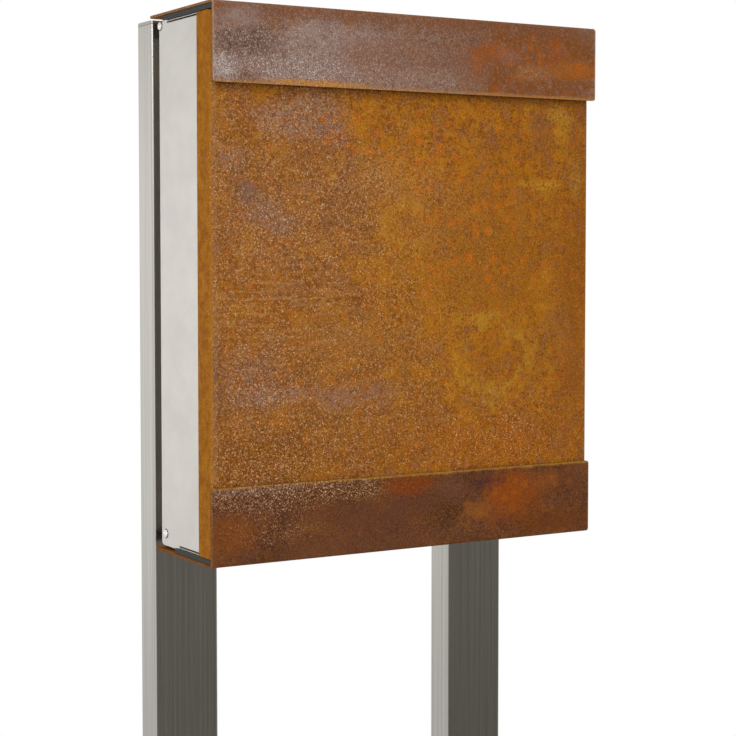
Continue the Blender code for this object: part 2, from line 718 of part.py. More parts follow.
def rivet_nut_shape():
    # Set in the post's front wall: flange outside, bulge behind, measured from the post's face
    flange = -FIT - NUT_FLANGE_THICKNESS
    bulge = POST_WALL + FIT
    bulge_end = bulge + NUT_BULGE_LENGTH
    bore = BOLT_RADIUS + RUNNING
    profile = [(bore, flange), (NUT_FLANGE_RADIUS, flange), (NUT_FLANGE_RADIUS, -FIT)]
    profile += [(NUT_BODY_RADIUS, -FIT), (NUT_BODY_RADIUS, bulge)]
    profile += [(NUT_BULGE_RADIUS, bulge + FIT), (NUT_BULGE_RADIUS, bulge_end - FIT)]
    profile += [(NUT_BODY_RADIUS, bulge_end), (NUT_BODY_RADIUS, NUT_LENGTH), (bore, NUT_LENGTH)]
    return turned(profile, hollow=True)


def make_fasteners():
    washer_back = INNER_BACK - FIT
    washer_front = washer_back - WASHER_THICKNESS
    sleeve_back = POST_FRONT - 2 * FIT - NUT_FLANGE_THICKNESS
    bore = BOLT_RADIUS + FIT
    for name, x, z in bolt_places():
        bolt = along_y(bolt_shape(), (x, washer_front - FIT, z))
        add_piece("bolt_" + name, bolt, "zinc_plate")
        washer = along_y(ring_shape(WASHER_RADIUS, bore, washer_front, washer_back), (x, 0, z))
        add_piece("washer_" + name, washer, "zinc_plate")
        sleeve = along_y(ring_shape(SLEEVE_RADIUS, bore, HOUSING_BACK + FIT, sleeve_back), (x, 0, z))
        add_piece("spacer_sleeve_" + name, sleeve, "ground_stainless")
        add_piece("rivet_nut_" + name, along_y(rivet_nut_shape(), (x, POST_FRONT, z)), "zinc_plate")


# Cam lock, turned along Z with the key side down

def make_lock_body(axis):
    foot = BOX_FOOT - FIT
    flange = foot - LOCK_FLANGE_HEIGHT
    seat = flange + PLUG_HEAD_HEIGHT + FIT
    bore = PLUG_RADIUS + RUNNING
    top = BOX_FOOT + LOCK_LENGTH
    profile = [(bore, seat), (PLUG_HEAD_RADIUS + RUNNING, seat), (PLUG_HEAD_RADIUS + RUNNING, flange)]
    profile += [(LOCK_FLANGE_RADIUS * 0.94, flange), (LOCK_FLANGE_RADIUS, flange + FIT)]
    profile += [(LOCK_FLANGE_RADIUS, foot), (LOCK_RADIUS, foot), (LOCK_RADIUS, top), (bore, top)]
    shape = turned(profile, hollow=True)
    bmesh.ops.translate(shape, vec=(0, LOCK_Y, 0), verts=shape.verts)
    add_piece("lock_body", shape, "nickel_plate", axis)

    low = TRAY_FLOOR + FIT
    inner, outer = circle(LOCK_RADIUS + RUNNING), polygon(LOCK_NUT_RADIUS, 6)
    nut = tube(outer, inner, low, low + LOCK_NUT_HEIGHT)
    bmesh.ops.translate(nut, vec=(0, LOCK_Y, 0), verts=nut.verts)
    add_piece("lock_nut", nut, "zinc_plate", axis)


def make_lock_plug(axis):
    # The plug turns in the body, and its flatted tenon carries the cam
    foot = BOX_FOOT - FIT - LOCK_FLANGE_HEIGHT
    shoulder = foot + PLUG_HEAD_HEIGHT
    seat = CAM_FOOT - FIT
    top = CAM_FOOT + CAM_SHEET
    tenon = flatted(PLUG_TENON_RADIUS, PLUG_TENON_FLAT)
    tapped = circle(CAM_SCREW_RADIUS + RUNNING)
    rings = [
        level(circle(PLUG_HEAD_RADIUS), foot), level(circle(PLUG_HEAD_RADIUS), shoulder),
        level(circle(PLUG_RADIUS), shoulder), level(circle(PLUG_RADIUS), seat),
        level(tenon, seat), level(tenon, top),
        level(tapped, top), level(tapped, top + FIT - CAM_SCREW_LENGTH - FIT)]
    shape = loft(rings)
    bmesh.ops.translate(shape, vec=(0, LOCK_Y, 0), verts=shape.verts)
    plug = add_piece("lock_plug", shape, "nickel_plate", axis)
    half_length, half_width = KEYWAY_LENGTH / 2, KEYWAY_WIDTH / 2
    slot = rectangle(-half_length, LOCK_Y - half_width, half_length, LOCK_Y + half_width)
    add_boolean(plug, "keyway", prism(slot, foot - KEYWAY_DEPTH, foot + KEYWAY_DEPTH), "DIFFERENCE", axis)


def make_lock_cam(axis):
    # Two circles and their common tangents, drawn along +X, which is unlocked
    reach = LOCK_Y - INNER_FRONT - FIT - CATCH_SHEET - CAM_TIP_GAP
    spread = reach - CAM_TIP_RADIUS
    contact = acos((CAM_HUB_RADIUS - CAM_TIP_RADIUS) / spread)
    outline = arc((0, 0), CAM_HUB_RADIUS, contact, 2 * pi - contact, 3 * ARC_STEPS)
    outline += arc((spread, 0), CAM_TIP_RADIUS, -contact, contact, 2 * ARC_STEPS)
    hole = flatted(PLUG_TENON_RADIUS + RUNNING, PLUG_TENON_FLAT + RUNNING)
    cam = blank(outline, CAM_SHEET, [hole])
    bmesh.ops.translate(cam, vec=(0, LOCK_Y, CAM_FOOT + CAM_SHEET), verts=cam.verts)
    add_piece("lock_cam", cam, "zinc_plate", axis)

    low = CAM_FOOT + CAM_SHEET + FIT
    tip = low - CAM_SCREW_LENGTH
    head = low + CAM_SCREW_HEAD_HEIGHT
    profile = [(CAM_SCREW_RADIUS * 0.7, tip), (CAM_SCREW_RADIUS, tip + CAM_SCREW_RADIUS / 2)]
    profile += [(CAM_SCREW_RADIUS, low), (CAM_SCREW_HEAD_RADIUS, low)]
    profile += [(CAM_SCREW_HEAD_RADIUS, head - FIT), (CAM_SCREW_HEAD_RADIUS * 0.9, head)]
    rings = [level(circle(radius), height) for radius, height in profile]
    cross = polygon(CAM_SCREW_RADIUS, 4)
    rings += [level(cross, head), level(cross, head - CAM_SCREW_HEAD_HEIGHT * 0.6)]
    screw = loft(rings)
    bmesh.ops.translate(screw, vec=(0, LOCK_Y, 0), verts=screw.verts)
    add_piece("cam_screw", screw, "zinc_plate", axis)


def make_lock_catch():
    # An angle spot-welded inside the front wall, whose lip lies under the locked cam
    front = INNER_FRONT + FIT
    foot = CAM_FOOT - LATCH_PLAY - CATCH_SHEET
    corner = CATCH_SHEET
    shape = angle_sheet(CATCH_LIP, CATCH_HEIGHT, CATCH_WIDTH, CATCH_SHEET, CATCH_BEND, corner)
    placed(shape, (0, -1, 0), (-1, 0, 0), (0, 0, -1), (0, front + CATCH_LIP, foot))
    add_piece("lock_catch", shape, "zinc_plate")


def build():
    clear_scene()
    hood = make_axis("hood_hinge", HOOD_HINGE)
    tray = make_axis("tray_hinge", TRAY_HINGE)
    lock = make_axis("lock_axis", LOCK_AXIS, tray)
    bpy.context.view_layer.update()

    for name, x in (("left", -POST_X), ("right", POST_X)):
        make_post(name, x)
        make_post_cap(name, x)
        make_base_plate(name, x)
    make_housing()
    make_front_panel()
    make_fasteners()
    make_hinge_pins()
    make_lock_catch()

    make_hood_cover(hood)
    make_hood_carrier(hood)
    strip_front = HOOD_FRONT + COVER_BEND + FIT
    make_strips("hood", hood, strip_front, HOOD_LUG_LENGTH, HOOD_STRIP_TAIL, HOOD_CARRIER_TOP + FIT)
    make_pads("hood", hood, HOUSING_TOP + FIT, HOOD_CARRIER_TOP - CARRIER_SHEET - FIT)

    make_tray_cover(tray)
    make_tray_carrier(tray)
    strip_front = TRAY_FRONT + COVER_BEND + FIT
    make_strips("tray", tray, strip_front, TRAY_LUG_LENGTH, TRAY_STRIP_TAIL, BOX_FOOT + COVER_SHEET + FIT)
    make_pads("tray", tray, TRAY_FLOOR + FIT, HOUSING_FOOT - FIT)
    make_lock_body(tray)

    make_lock_plug(lock)
    make_lock_cam(lock)


build()
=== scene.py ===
# Looks of the letter box: rusted weathering-steel covers, a ground stainless sleeve and two brushed posts
from math import cos, pi, radians, sin

import bpy
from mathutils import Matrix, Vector


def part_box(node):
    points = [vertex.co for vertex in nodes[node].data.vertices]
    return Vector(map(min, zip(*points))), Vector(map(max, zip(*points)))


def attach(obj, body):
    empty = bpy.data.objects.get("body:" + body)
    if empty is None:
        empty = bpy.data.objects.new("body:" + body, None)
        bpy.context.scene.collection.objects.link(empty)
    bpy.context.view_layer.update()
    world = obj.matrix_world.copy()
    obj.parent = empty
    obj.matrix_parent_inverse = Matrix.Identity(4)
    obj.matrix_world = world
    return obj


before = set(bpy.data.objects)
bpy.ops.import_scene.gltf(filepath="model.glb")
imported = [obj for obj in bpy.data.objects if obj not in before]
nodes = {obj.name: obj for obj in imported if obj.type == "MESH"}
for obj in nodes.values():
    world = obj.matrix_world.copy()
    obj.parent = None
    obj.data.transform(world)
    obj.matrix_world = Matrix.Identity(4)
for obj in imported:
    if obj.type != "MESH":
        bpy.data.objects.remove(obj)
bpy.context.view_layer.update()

scene = bpy.context.scene


# Colours, scales and nodes

def linear(hexColour):
    # sRGB hex value to the linear colour that a shader takes
    values = [int(hexColour[i:i + 2], 16) / 255 for i in (1, 3, 5)]
    return tuple(v / 12.92 if v <= 0.04045 else ((v + 0.055) / 1.055) ** 2.4 for v in values) + (1.0,)


def scaleFor(millimetres):
    # Texture scale, in repeats per metre, of a pattern with spots of that size
    return 1000.0 / millimetres


def addNode(tree, kind, values=None, links=None, stops=None, **settings):
    # A node with its settings, socket values, incoming links and, on a ramp, its colour stops
    node = tree.nodes.new(kind)
    for key, value in settings.items():
        setattr(node, key, value)
    for key, value in (values or {}).items():
        node.inputs[key].default_value = value
    for key, source in (links or {}).items():
        tree.links.new(source, node.inputs[key])
    if stops:
        elements = node.color_ramp.elements
        while len(elements) < len(stops):
            elements.new(1.0)
        for element, (place, colour) in zip(elements, stops):
            element.position = place
            element.color = colour
    return node


def newMaterial(name):
    material = bpy.data.materials.new(name)
    material.use_nodes = True
    material.node_tree.nodes.clear()
    return material, material.node_tree


def wear(material, *names):
    # CAD nodes keep their mesh and take this material
    for name in names:
        nodes[name].data.materials.clear()
        nodes[name].data.materials.append(material)


# Camera, at the photograph's angle

view = {
    "place": (-0.7848, -1.3775, 1.0067),
    "turn": 30.414,  # degrees to the right of straight at the front
    "tilt": 2.869,  # degrees downwards
    "lens": 86.196,  # millimetres, on a sensor that is 36 mm wide
    "sensor": 36.0,
    "rise": -0.045,  # keeps the posts upright, as in the photograph
    "nearest": 0.01,
}

turn, tilt = radians(view["turn"]), radians(view["tilt"])
ahead = Vector((sin(turn) * cos(tilt), cos(turn) * cos(tilt), -sin(tilt)))
cameraData = bpy.data.cameras.new("camera")
cameraData.lens = view["lens"]
cameraData.sensor_width = view["sensor"]
cameraData.shift_y = view["rise"]
cameraData.clip_start = view["nearest"]
camera = bpy.data.objects.new("camera", cameraData)
camera.location = view["place"]
camera.rotation_euler = ahead.to_track_quat("-Z", "Y").to_euler()
scene.collection.objects.link(camera)
scene.camera = camera
print("camera set")


# Studio: white surroundings, a pale floor and soft lamps

white = (1.0, 1.0, 1.0, 1.0)
studio = {
    "fill": 0.66,  # world light on matt surfaces
    "horizon": {"level": 1.12, "high": 0.66, "height": 0.25},  # brightness in reflections
    "lamps": {
        "key": {"place": (-1.7, -1.9, 2.2), "aim": (0.0, -0.1, 0.95), "size": 1.6, "power": 29.5},
        "fill": {"place": (2.2, -1.9, 1.5), "aim": (0.0, -0.1, 0.95), "size": 1.8, "power": 11.0,
                 "glossy": False},
        "top": {"place": (-0.2, 0.6, 2.9), "aim": (0.0, 0.0, 0.9), "size": 1.4, "power": 12.0},
    },
}

scene.view_settings.view_transform = "Standard"
world = bpy.data.worlds.new("studio")
world.use_nodes = True
world.node_tree.nodes.clear()
scene.world = world


def seenDirectly(tree, path):
    # 1 on rays from the camera, also through something clear
    return addNode(tree, "ShaderNodeMath", operation="MAXIMUM", links={
        0: path.outputs["Is Camera Ray"], 1: path.outputs["Is Transmission Ray"]}).outputs[0]


tree = world.node_tree
path = addNode(tree, "ShaderNodeLightPath")
way = addNode(tree, "ShaderNodeTexCoord")
way = addNode(tree, "ShaderNodeSeparateXYZ", links={0: way.outputs["Generated"]})
way = addNode(tree, "ShaderNodeMath", links={0: way.outputs["Z"]}, operation="ABSOLUTE")
horizon = studio["horizon"]
gloss = addNode(tree, "ShaderNodeMapRange",
                {"From Max": horizon["height"], "To Min": horizon["level"], "To Max": horizon["high"]},
                {"Value": way.outputs[0]}, interpolation_type="SMOOTHSTEP")
matt = addNode(tree, "ShaderNodeBackground", {"Color": white, "Strength": studio["fill"]})
mirrored = addNode(tree, "ShaderNodeBackground", {"Color": white}, {"Strength": gloss.outputs[0]})
backdrop = addNode(tree, "ShaderNodeBackground", {"Color": white, "Strength": 1.0})
mix = addNode(tree, "ShaderNodeMixShader",
              links={0: path.outputs["Is Glossy Ray"], 1: matt.outputs[0], 2: mirrored.outputs[0]})
mix = addNode(tree, "ShaderNodeMixShader",
              links={0: seenDirectly(tree, path), 1: mix.outputs[0], 2: backdrop.outputs[0]})
addNode(tree, "ShaderNodeOutputWorld", links={"Surface": mix.outputs[0]})

for name, lamp in studio["lamps"].items():
    data = bpy.data.lights.new(name, "AREA")
    data.size = lamp["size"]
    data.energy = lamp["power"]
    light = bpy.data.objects.new(name, data)
    light.location = lamp["place"]
    towards = Vector(lamp["aim"]) - Vector(lamp["place"])
    light.rotation_euler = towards.to_track_quat("-Z", "Y").to_euler()
    light.visible_glossy = lamp.get("glossy", True)
    scene.collection.objects.link(light)


def flatSheet(name, corners, material):
    mesh = bpy.data.meshes.new(name)
    mesh.from_pydata(corners, [], [(0, 1, 2, 3)])
    mesh.materials.append(material)
    sheet = bpy.data.objects.new(name, mesh)
    scene.collection.objects.link(sheet)
    return sheet


# Matt white paper floor: its shadow fades into the white surroundings away from the posts
floor = {
    "colour": "#EBEBE9",
    "reach": 6.0,
    "fade": {"From Min": 0.5, "From Max": 1.7},  # distances over which the paper turns to plain white
    "gloss": {"From Min": 2.0, "From Max": 5.5, "To Min": 0.72, "To Max": 0.95},  # brightness in reflections
}
material, tree = newMaterial("matt paper floor")
path = addNode(tree, "ShaderNodeLightPath")
place = addNode(tree, "ShaderNodeTexCoord")
reach = addNode(tree, "ShaderNodeVectorMath", links={0: place.outputs["Object"]}, operation="LENGTH")
fade = addNode(tree, "ShaderNodeMapRange", floor["fade"], {"Value": reach.outputs["Value"]},
               interpolation_type="SMOOTHSTEP")
gloss = addNode(tree, "ShaderNodeMapRange", floor["gloss"], {"Value": reach.outputs["Value"]})
blend = addNode(tree, "ShaderNodeMath", links={0: fade.outputs[0], 1: seenDirectly(tree, path)},
                operation="MULTIPLY")
mirror = addNode(tree, "ShaderNodeMath", links={0: fade.outputs[0], 1: path.outputs["Is Glossy Ray"]},
                 operation="MULTIPLY")
paper = addNode(tree, "ShaderNodeBsdfDiffuse", {"Color": linear(floor["colour"])})
glow = addNode(tree, "ShaderNodeEmission", {"Color": white, "Strength": 1.0})
mirrored = addNode(tree, "ShaderNodeEmission", {"Color": white}, {"Strength": gloss.outputs[0]})
mix = addNode(tree, "ShaderNodeMixShader",
              links={0: mirror.outputs[0], 1: paper.outputs[0], 2: mirrored.outputs[0]})
mix = addNode(tree, "ShaderNodeMixShader", links={0: blend.outputs[0], 1: mix.outputs[0], 2: glow.outputs[0]})
addNode(tree, "ShaderNodeOutputMaterial", links={"Surface": mix.outputs[0]})
half = floor["reach"]
flatSheet("floor", [(-half, -half, 0), (half, -half, 0), (half, half, 0), (-half, half, 0)], material)

# Dark card beyond the right front corner, for the shade on the fronts of the posts
cardLook = {
    "place": (0.52, -0.88, 1.22), "width": 1.7, "height": 2.4, "grey": "#777570", "foot": "#66645F",
    "shade": {"From Min": 0.20, "From Max": 0.52},  # heights over which the foot's tone turns to grey
}
material, tree = newMaterial("dark studio card")
place = addNode(tree, "ShaderNodeTexCoord")
place = addNode(tree, "ShaderNodeSeparateXYZ", links={0: place.outputs["Object"]})
shade = addNode(tree, "ShaderNodeMapRange", cardLook["shade"], {"Value": place.outputs["Z"]})
shade = addNode(tree, "ShaderNodeMix", {6: linear(cardLook["foot"]), 7: linear(cardLook["grey"])},
                {0: shade.outputs[0]}, data_type="RGBA")
glow = addNode(tree, "ShaderNodeEmission", {"Strength": 1.0}, {"Color": shade.outputs[2]})
addNode(tree, "ShaderNodeOutputMaterial", links={"Surface": glow.outputs[0]})
centre = Vector(cardLook["place"])
across = Vector((-centre.y, centre.x, 0)).normalized() * cardLook["width"] / 2
up = Vector((0, 0, cardLook["height"] / 2))
card = flatSheet("card", [centre - across - up, centre + across - up, centre + across + up,
                          centre - across + up], material)
card.visible_camera = False
card.visible_diffuse = False
card.visible_shadow = False
print("studio set")


# Weathering steel: cold-rolled sheet left to rust in rain and sun until a dense film has formed.
# It is matt and finely grained, ochre to purple-brown, with pale specks where mill scale still sits.
# Places are (x, z) and half sizes in metres. A stain has a colour, share and grain; a ring has a radius,
# width, colour and share; a field of spots has a share; a streak has a colour and share; a painted glint has
# a share.
# An edge has an axis (X both sides, L the left side, Z upwards), start, end, colour and share.
# Cool and warm are tints and their shares, and flat has the two tones of faces that don't look forwards.
# Crumbs is their share in the ground colour, and flake how far they break up a stain.

rust = {
    "hood": {
        "name": "rusted weathering steel, hood", "cover": "hood_cover", "seed": 3.0,
        "dark": "#6A4634", "middle": "#805A46", "light": "#926C58", "flat": ("#96622A", "#7E4E20"),
        "cool": ("#7E6C66", 0.45), "warm": ("#94683E", 0.35), "crumbs": 0.25, "flake": 0.55,
        "grain": 1.2, "pit": "#4C342A", "pale": "#DCCCC6", "crumb": "#BCA08A",
        "stains": [
            ((-0.090, 1.172), (0.070, 0.016), "#967F78", 0.85, 0.45),
            ((0.000, 1.160), (0.080, 0.020), "#7E5642", 0.85, 0.42),
            ((-0.020, 1.198), (0.260, 0.012), "#784A2E", 0.90, 0.25),
            ((-0.158, 1.167), (0.026, 0.015), "#604840", 0.90, 0.70),
            ((-0.165, 1.187), (0.020, 0.009), "#8E766C", 0.85, 0.20),
            ((-0.138, 1.187), (0.012, 0.006), "#8A5430", 0.60, 0.60),
            ((-0.178, 1.149), (0.014, 0.010), "#B4A8A2", 0.80, 1.20),
            ((-0.110, 1.150), (0.060, 0.012), "#9E8A84", 0.80, 1.10),
            ((-0.010, 1.147), (0.070, 0.010), "#907060", 0.75, 0.65),
            ((0.135, 1.165), (0.095, 0.080), "#7A4416", 1.00, 0.10),
            ((0.085, 1.174), (0.026, 0.007), "#904808", 0.80, 0.15),
            ((0.142, 1.178), (0.012, 0.012), "#924606", 0.80, 0.15),
            ((0.164, 1.161), (0.028, 0.010), "#9E5604", 0.90, 0.15),
            ((0.064, 1.166), (0.008, 0.014), "#94480C", 0.70, 0.15),
            ((0.095, 1.170), (0.014, 0.008), "#865640", 0.80, 0.35),
            ((0.120, 1.156), (0.022, 0.008), "#98632C", 0.70, 0.60),
            ((0.180, 1.195), (0.018, 0.008), "#7A5642", 0.60, 0.30),
            ((-0.095, 1.1385), (0.045, 0.0032), "#BE7C20", 1.00, 0.40),
            ((0.100, 1.196), (0.090, 0.007), "#74462A", 0.80, 0.25),
        ],
        "rings": [],
        "edges": [("Z", 1.1392, 1.1370, "#B47A38", 0.60), ("X", 0.1860, 0.1873, "#BCA086", 0.60)],
        "spots": {"colour": "#A65208", "fields": [((0.120, 1.165), (0.080, 0.030), 0.50)]},
        "streaks": [],
        "paintedGlints": [((-0.110, 1.160), (0.090, 0.030), 0.40)],
    },
    "panel": {
        "name": "rusted weathering steel, front panel", "cover": "front_panel", "seed": 11.0,
        "dark": "#763E04", "middle": "#945406", "light": "#AC6C0C", "flat": ("#AA6C10", "#8C5008"),
        "cool": ("#845840", 0.50), "warm": ("#B87810", 0.50), "crumbs": 0.42, "flake": 0.85,
        "grain": 1.15, "pit": "#5A3006", "pale": "#DAAE92", "crumb": "#CA8E2C",
        "stains": [
            ((0.010, 0.990), (0.075, 0.120), "#AC6E14", 0.60, 0.75),
            ((-0.120, 1.050), (0.110, 0.090), "#8C5E3A", 0.70, 1.05),
            ((-0.120, 0.880), (0.120, 0.090), "#85542A", 0.70, 0.95),
            ((0.060, 1.030), (0.070, 0.040), "#925A24", 0.45, 0.60),
            ((0.090, 0.985), (0.080, 0.040), "#8A540E", 0.60, 0.60),
            ((-0.108, 1.112), (0.042, 0.017), "#8C7064", 0.90, 0.95),
            ((-0.080, 1.100), (0.020, 0.010), "#84645A", 0.80, 0.80),
            ((-0.156, 1.052), (0.012, 0.011), "#745C56", 1.00, 0.50),
            ((-0.138, 1.036), (0.018, 0.012), "#86685A", 0.90, 0.90),
            ((-0.122, 1.024), (0.014, 0.010), "#84665A", 0.90, 0.90),
            ((-0.168, 1.076), (0.012, 0.010), "#8C6A56", 0.80, 0.90),
            ((-0.020, 1.064), (0.060, 0.020), "#A47038", 0.60, 0.90),
            ((-0.145, 0.904), (0.026, 0.028), "#86604E", 0.90, 1.00),
            ((-0.132, 0.885), (0.036, 0.009), "#8A6A5C", 0.90, 1.00),
            ((-0.072, 0.883), (0.030, 0.008), "#8A6248", 0.90, 0.50),
            ((-0.180, 0.900), (0.010, 0.035), "#6C4638", 0.90, 0.60),
            ((-0.060, 0.928), (0.070, 0.022), "#96622A", 0.70, 0.70),
            ((0.136, 1.112), (0.014, 0.020), "#7E4E32", 0.95, 0.25),
            ((0.182, 1.128), (0.012, 0.016), "#7A4A26", 0.90, 0.20),
            ((0.160, 1.108), (0.008, 0.022), "#B07E20", 0.80, 0.40),
            ((0.178, 1.075), (0.012, 0.026), "#8A4C14", 0.80, 0.25),
            ((0.160, 0.925), (0.018, 0.030), "#84502A", 0.90, 0.25),
            ((0.170, 0.885), (0.018, 0.022), "#85481A", 0.80, 0.25),
            ((-0.060, 0.885), (0.050, 0.012), "#8C6450", 0.65, 0.40),
            ((0.172, 0.965), (0.016, 0.060), "#8C5818", 0.80, 0.30),
            ((0.174, 1.000), (0.018, 0.120), "#84480E", 0.75, 0.35),
            ((0.110, 1.030), (0.070, 0.100), "#965A0A", 0.45, 0.25),
            ((0.110, 0.920), (0.070, 0.060), "#985E0C", 0.45, 0.30),
            ((0.000, 0.838), (0.150, 0.026), "#8E520C", 0.55, 0.75),
            ((0.080, 0.835), (0.080, 0.022), "#A05606", 0.75, 0.70),
            ((0.160, 0.850), (0.030, 0.040), "#8A4E14", 0.70, 0.40),
            ((-0.140, 0.834), (0.070, 0.026), "#74420E", 0.75, 1.15),
            ((0.070, 0.946), (0.026, 0.006), "#AE7816", 0.80, 0.60),
            ((0.133, 1.062), (0.020, 0.006), "#B07C1C", 0.85, 0.60),
            ((0.152, 1.122), (0.014, 0.010), "#A87A22", 0.70, 0.50),
            ((0.172, 1.068), (0.008, 0.020), "#A0762C", 0.70, 0.40),
        ],
        "rings": [
            ((-0.002, 1.026), 0.021, 0.20, "#B87C1E", 0.70),
            ((0.088, 0.912), 0.032, 0.16, "#B0801E", 0.70),
            ((0.140, 0.915), 0.020, 0.20, "#A87420", 0.35),
        ],
        "edges": [
            # painted shade under the hood: a soft dark band, then a dark line right under its lip
            ("Z", 1.1290, 1.1370, "#5A320C", 0.15),
            ("Z", 1.1350, 1.1370, "#2A1406", 0.85),  # painted shadow line under the hood's lip
            ("Z", 1.1392, 1.1420, "#925C26", 0.82),  # under the hood, out of the rain
            ("L", 0.1800, 0.1812, "#9A7654", 0.35),
            ("X", 0.1838, 0.1846, "#A4681A", 0.90),
        ],
        "spots": {"colour": "#B86006", "fields": [
            ((-0.005, 1.098), (0.100, 0.022), 0.85), ((0.070, 1.035), (0.055, 0.060), 0.70),
            ((0.080, 0.990), (0.070, 0.025), 0.60), ((0.000, 0.960), (0.400, 0.400), 0.30)]},
        "streaks": [
            ((-0.115, 0.955), (0.070, 0.040), "#B88A58", 0.45),
            ((-0.040, 0.860), (0.120, 0.030), "#B07A34", 0.30),
        ],
        "paintedGlints": [((-0.120, 0.990), (0.120, 0.170), 0.50), ((0.020, 0.850), (0.140, 0.050), 0.40)],
    },
    "tray": {
        "name": "rusted weathering steel, tray", "cover": "tray_cover", "seed": 23.0,
        "dark": "#4C2A18", "middle": "#60361C", "light": "#764420", "flat": ("#8A5418", "#6E4012"),
        "cool": ("#5A3830", 0.60), "warm": ("#7A4410", 0.25), "crumbs": 0.30, "flake": 0.35,
        "grain": 1.05, "pit": "#36190A", "pale": "#D2AC90", "crumb": "#A06C28",
        "stains": [
            ((-0.105, 0.808), (0.095, 0.011), "#6A3E1A", 0.90, 1.30),
            ((-0.150, 0.811), (0.050, 0.005), "#84604E", 0.70, 1.20),
            ((-0.050, 0.802), (0.026, 0.009), "#6E4208", 0.70, 1.30),
            ((-0.140, 0.797), (0.040, 0.008), "#60341C", 0.80, 1.10),
            ((-0.168, 0.775), (0.022, 0.016), "#7C4214", 0.85, 0.30),
            ((-0.120, 0.775), (0.018, 0.008), "#6C4024", 0.80, 0.90),
            ((-0.092, 0.778), (0.014, 0.008), "#84500F", 0.75, 1.00),
            ((-0.030, 0.782), (0.070, 0.018), "#603824", 0.90, 0.25),
            ((-0.060, 0.758), (0.120, 0.008), "#643C26", 0.80, 0.25),
            ((0.000, 0.805), (0.026, 0.010), "#7E3606", 0.90, 0.30),
            ((0.076, 0.803), (0.024, 0.011), "#4A2A26", 0.95, 0.25),
            ((0.035, 0.798), (0.020, 0.010), "#66402E", 0.80, 0.30),
            ((0.038, 0.776), (0.022, 0.010), "#4C280C", 0.85, 0.60),
            ((0.103, 0.790), (0.030, 0.028), "#8E4204", 0.95, 0.30),
            ((0.070, 0.778), (0.016, 0.010), "#8A5020", 0.70, 0.30),
            ((0.138, 0.800), (0.016, 0.010), "#8C4A16", 0.70, 0.40),
            ((0.163, 0.797), (0.024, 0.016), "#683A20", 0.80, 0.35),
            ((0.150, 0.762), (0.050, 0.012), "#66340E", 0.80, 0.25),
        ],
        "rings": [],
        "edges": [("Z", 0.8116, 0.8132, "#B0802C", 0.70), ("X", 0.1858, 0.1872, "#8E6A4E", 0.50)],
        "spots": {"colour": "#A45A10", "fields": [((0.110, 0.792), (0.060, 0.026), 0.35)]},
        "streaks": [],
        "paintedGlints": [((-0.105, 0.806), (0.090, 0.014), 0.9), ((-0.130, 0.778), (0.050, 0.014), 0.45)],
    },
}

# Noise patterns of the rust: size in millimetres, detail, roughness and where it is read.
# The real grain is about 0.3 mm, and is drawn at about a millimetre so that it shows.
patterns = {
    "cloud": (35, 4.0, 0.60, "here"),
    "mottle": (6, 3.0, 0.65, "here"),
    "crumbs": (2.4, 2.0, 0.60, "here"),
    "darkGrain": (1.15, 2.0, 0.70, "here"),
    "paleGrain": (1.05, 1.0, 0.60, "elsewhere"),
    "tints": (12, 4.0, 0.70, "elsewhere"),
}

# Where each pattern, facing or distance begins to count and where it counts in full, or the reverse
ranges = {
    "cool": {"From Min": 0.49, "From Max": 0.38},
    "warm": {"From Min": 0.52, "From Max": 0.62},
    "patch": {"From Min": 0.3, "From Max": 1.4, "To Min": 1.0, "To Max": 0.0},
    "flaky": {"From Min": 0.42, "From Max": 0.54},
    "drawn": {"From Min": 0.52, "From Max": 0.64},
    "broken": {"From Min": 0.38, "From Max": 0.58},
    "chosen": {"From Min": 0.25, "From Max": 0.60},
    "fresh": {"From Min": 0.25, "From Max": 0.55, "To Min": 1.0, "To Max": 0.0},
    "turned": {"From Min": 0.3, "From Max": 0.75, "To Min": 1.0, "To Max": 0.0},
    "bloom": {"From Min": 0.42, "From Max": 0.58},
    "pits": {"From Min": 0.54, "From Max": 0.38},
    "specks": {"From Min": 0.50, "From Max": 0.74},
    "scaly": {"From Min": 0.4, "From Max": 1.1},
    "golden": {"From Min": 0.56, "From Max": 0.42, "To Min": 0.25},
    "paintedGlint": {"From Min": 0.66, "From Max": 0.73},
    "rough": {"To Min": 0.88, "To Max": 0.45},
}

# The film itself: shares, and lengths in metres where nothing else is said
film = {
    "elsewhere": (0.0, 0.7, 0.4),
    "mottled": 0.4,  # share of the mottling among the clouds
    "stops": (0.42, 0.50, 0.58),  # where the clouds are dark, middle and light
    "wander": 1.8,  # how far the outline of a stain strays
    "shake": 0.004,  # how far streaks and spots stray
    "streak": (50, 3),  # millimetres
    "cell": 10,  # millimetres
    "sway": {"X": 0.001, "L": 0.001, "Z": 0.004},  # how far an edge strays
    "flakeGain": 0.2,  # how much a crumb strengthens a stain
    "openGrain": 0.5,  # grain between the stains
    "bloom": 0.85,  # share of the bloom on faces that don't look forwards
    "bloomMottled": 0.45,
    "bloomGrain": 0.3,
    "pits": 0.8,
    "specks": 0.75,
    # colour of the painted glints, specks of painted highlight
    "paintedGlint": "#EACDB4",
    "specular": 0.12,
    "fineRelief": {"Strength": 0.5, "Distance": 0.0004},
    "broadRelief": {"Strength": 0.3, "Distance": 0.0010},
}


